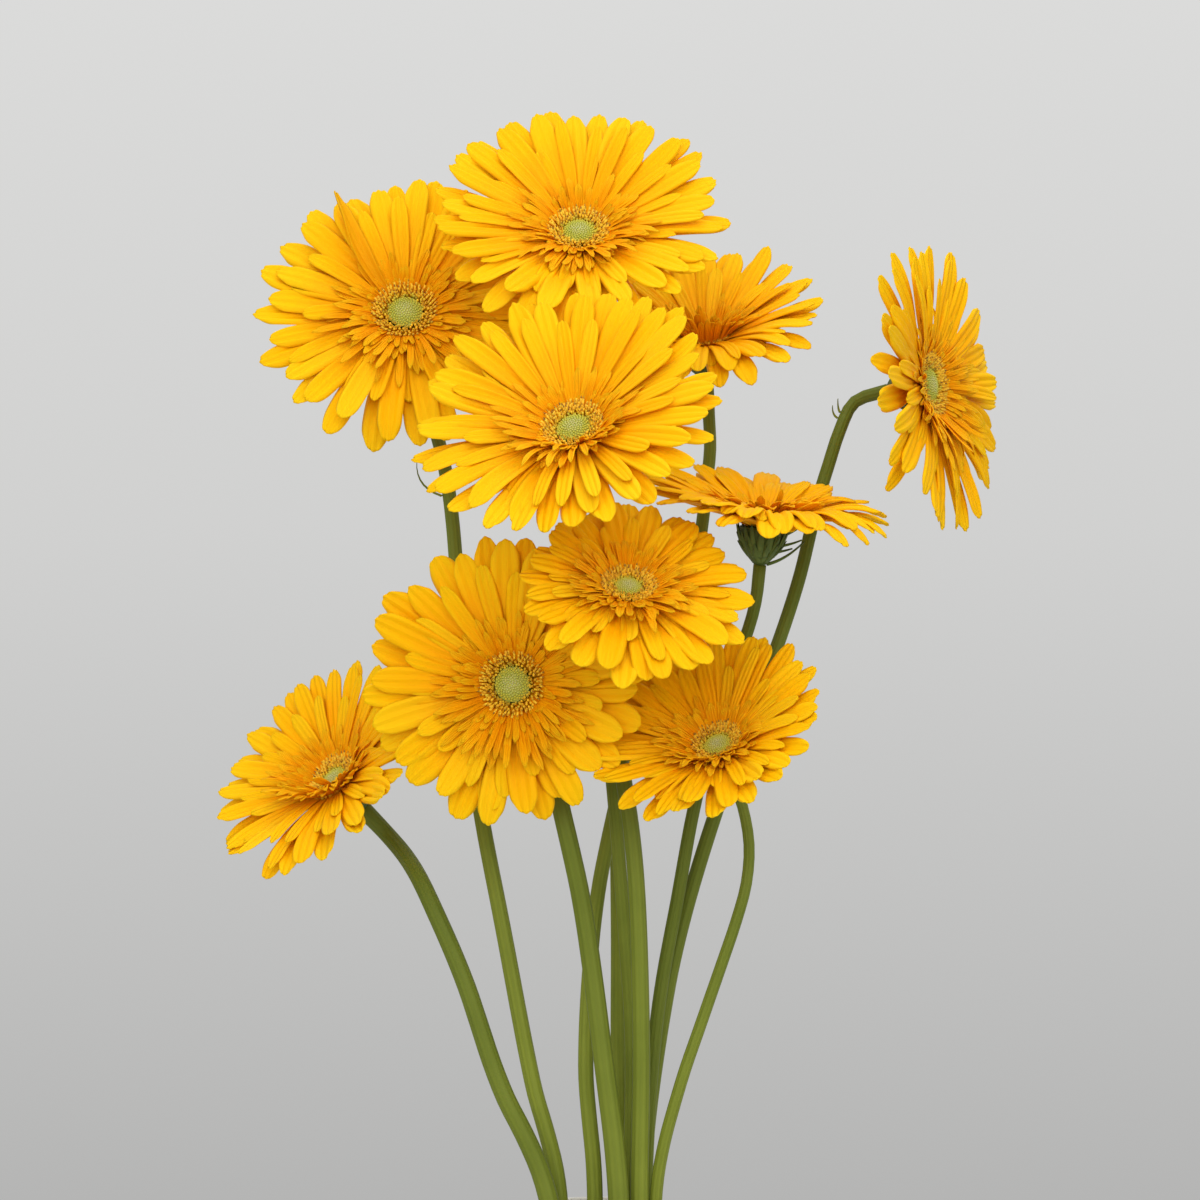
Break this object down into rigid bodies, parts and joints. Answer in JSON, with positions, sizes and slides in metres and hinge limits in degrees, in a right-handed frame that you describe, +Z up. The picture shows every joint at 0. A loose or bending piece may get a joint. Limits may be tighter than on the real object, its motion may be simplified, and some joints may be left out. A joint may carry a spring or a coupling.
{
  "type": "gerberas in a vase",
  "caption": "Loose bunch of tall yellow gerbera daisies with curving green stems, standing in a plain upright pale ceramic vase.",
  "frame": {"origin": "centre of the vase's flat underside", "axes": "+Z up along the vase's axis, -Y towards the front of the bunch, +X to the right of it"},
  "size_m": [0.3044, 0.1742, 0.619],
  "materials": {
    "vase": "satin glaze",
    "stem": "matte, finely ribbed",
    "calyx": "matte",
    "rays": "soft satin",
    "tuft": "soft satin",
    "eye": "matte"
  },
  "bodies": {
    "root": {"vase": "vase", "stem_01": "stem", "calyx_01": "calyx", "rays_01": "rays", "tuft_01": "tuft", "eye_01": "eye", "stem_02": "stem", "calyx_02": "calyx", "rays_02": "rays", "tuft_02": "tuft", "eye_02": "eye", "stem_03": "stem", "calyx_03": "calyx", "rays_03": "rays", "tuft_03": "tuft", "eye_03": "eye", "stem_04": "stem", "calyx_04": "calyx", "rays_04": "rays", "tuft_04": "tuft", "eye_04": "eye", "stem_05": "stem", "calyx_05": "calyx", "rays_05": "rays", "tuft_05": "tuft", "eye_05": "eye", "stem_06": "stem", "calyx_06": "calyx", "rays_06": "rays", "tuft_06": "tuft", "eye_06": "eye", "stem_07": "stem", "calyx_07": "calyx", "rays_07": "rays", "tuft_07": "tuft", "eye_07": "eye", "stem_08": "stem", "calyx_08": "calyx", "rays_08": "rays", "tuft_08": "tuft", "eye_08": "eye", "stem_09": "stem", "calyx_09": "calyx", "rays_09": "rays", "tuft_09": "tuft", "eye_09": "eye", "stem_10": "stem", "calyx_10": "calyx", "rays_10": "rays", "tuft_10": "tuft", "eye_10": "eye"}
  },
  "joints": []
}
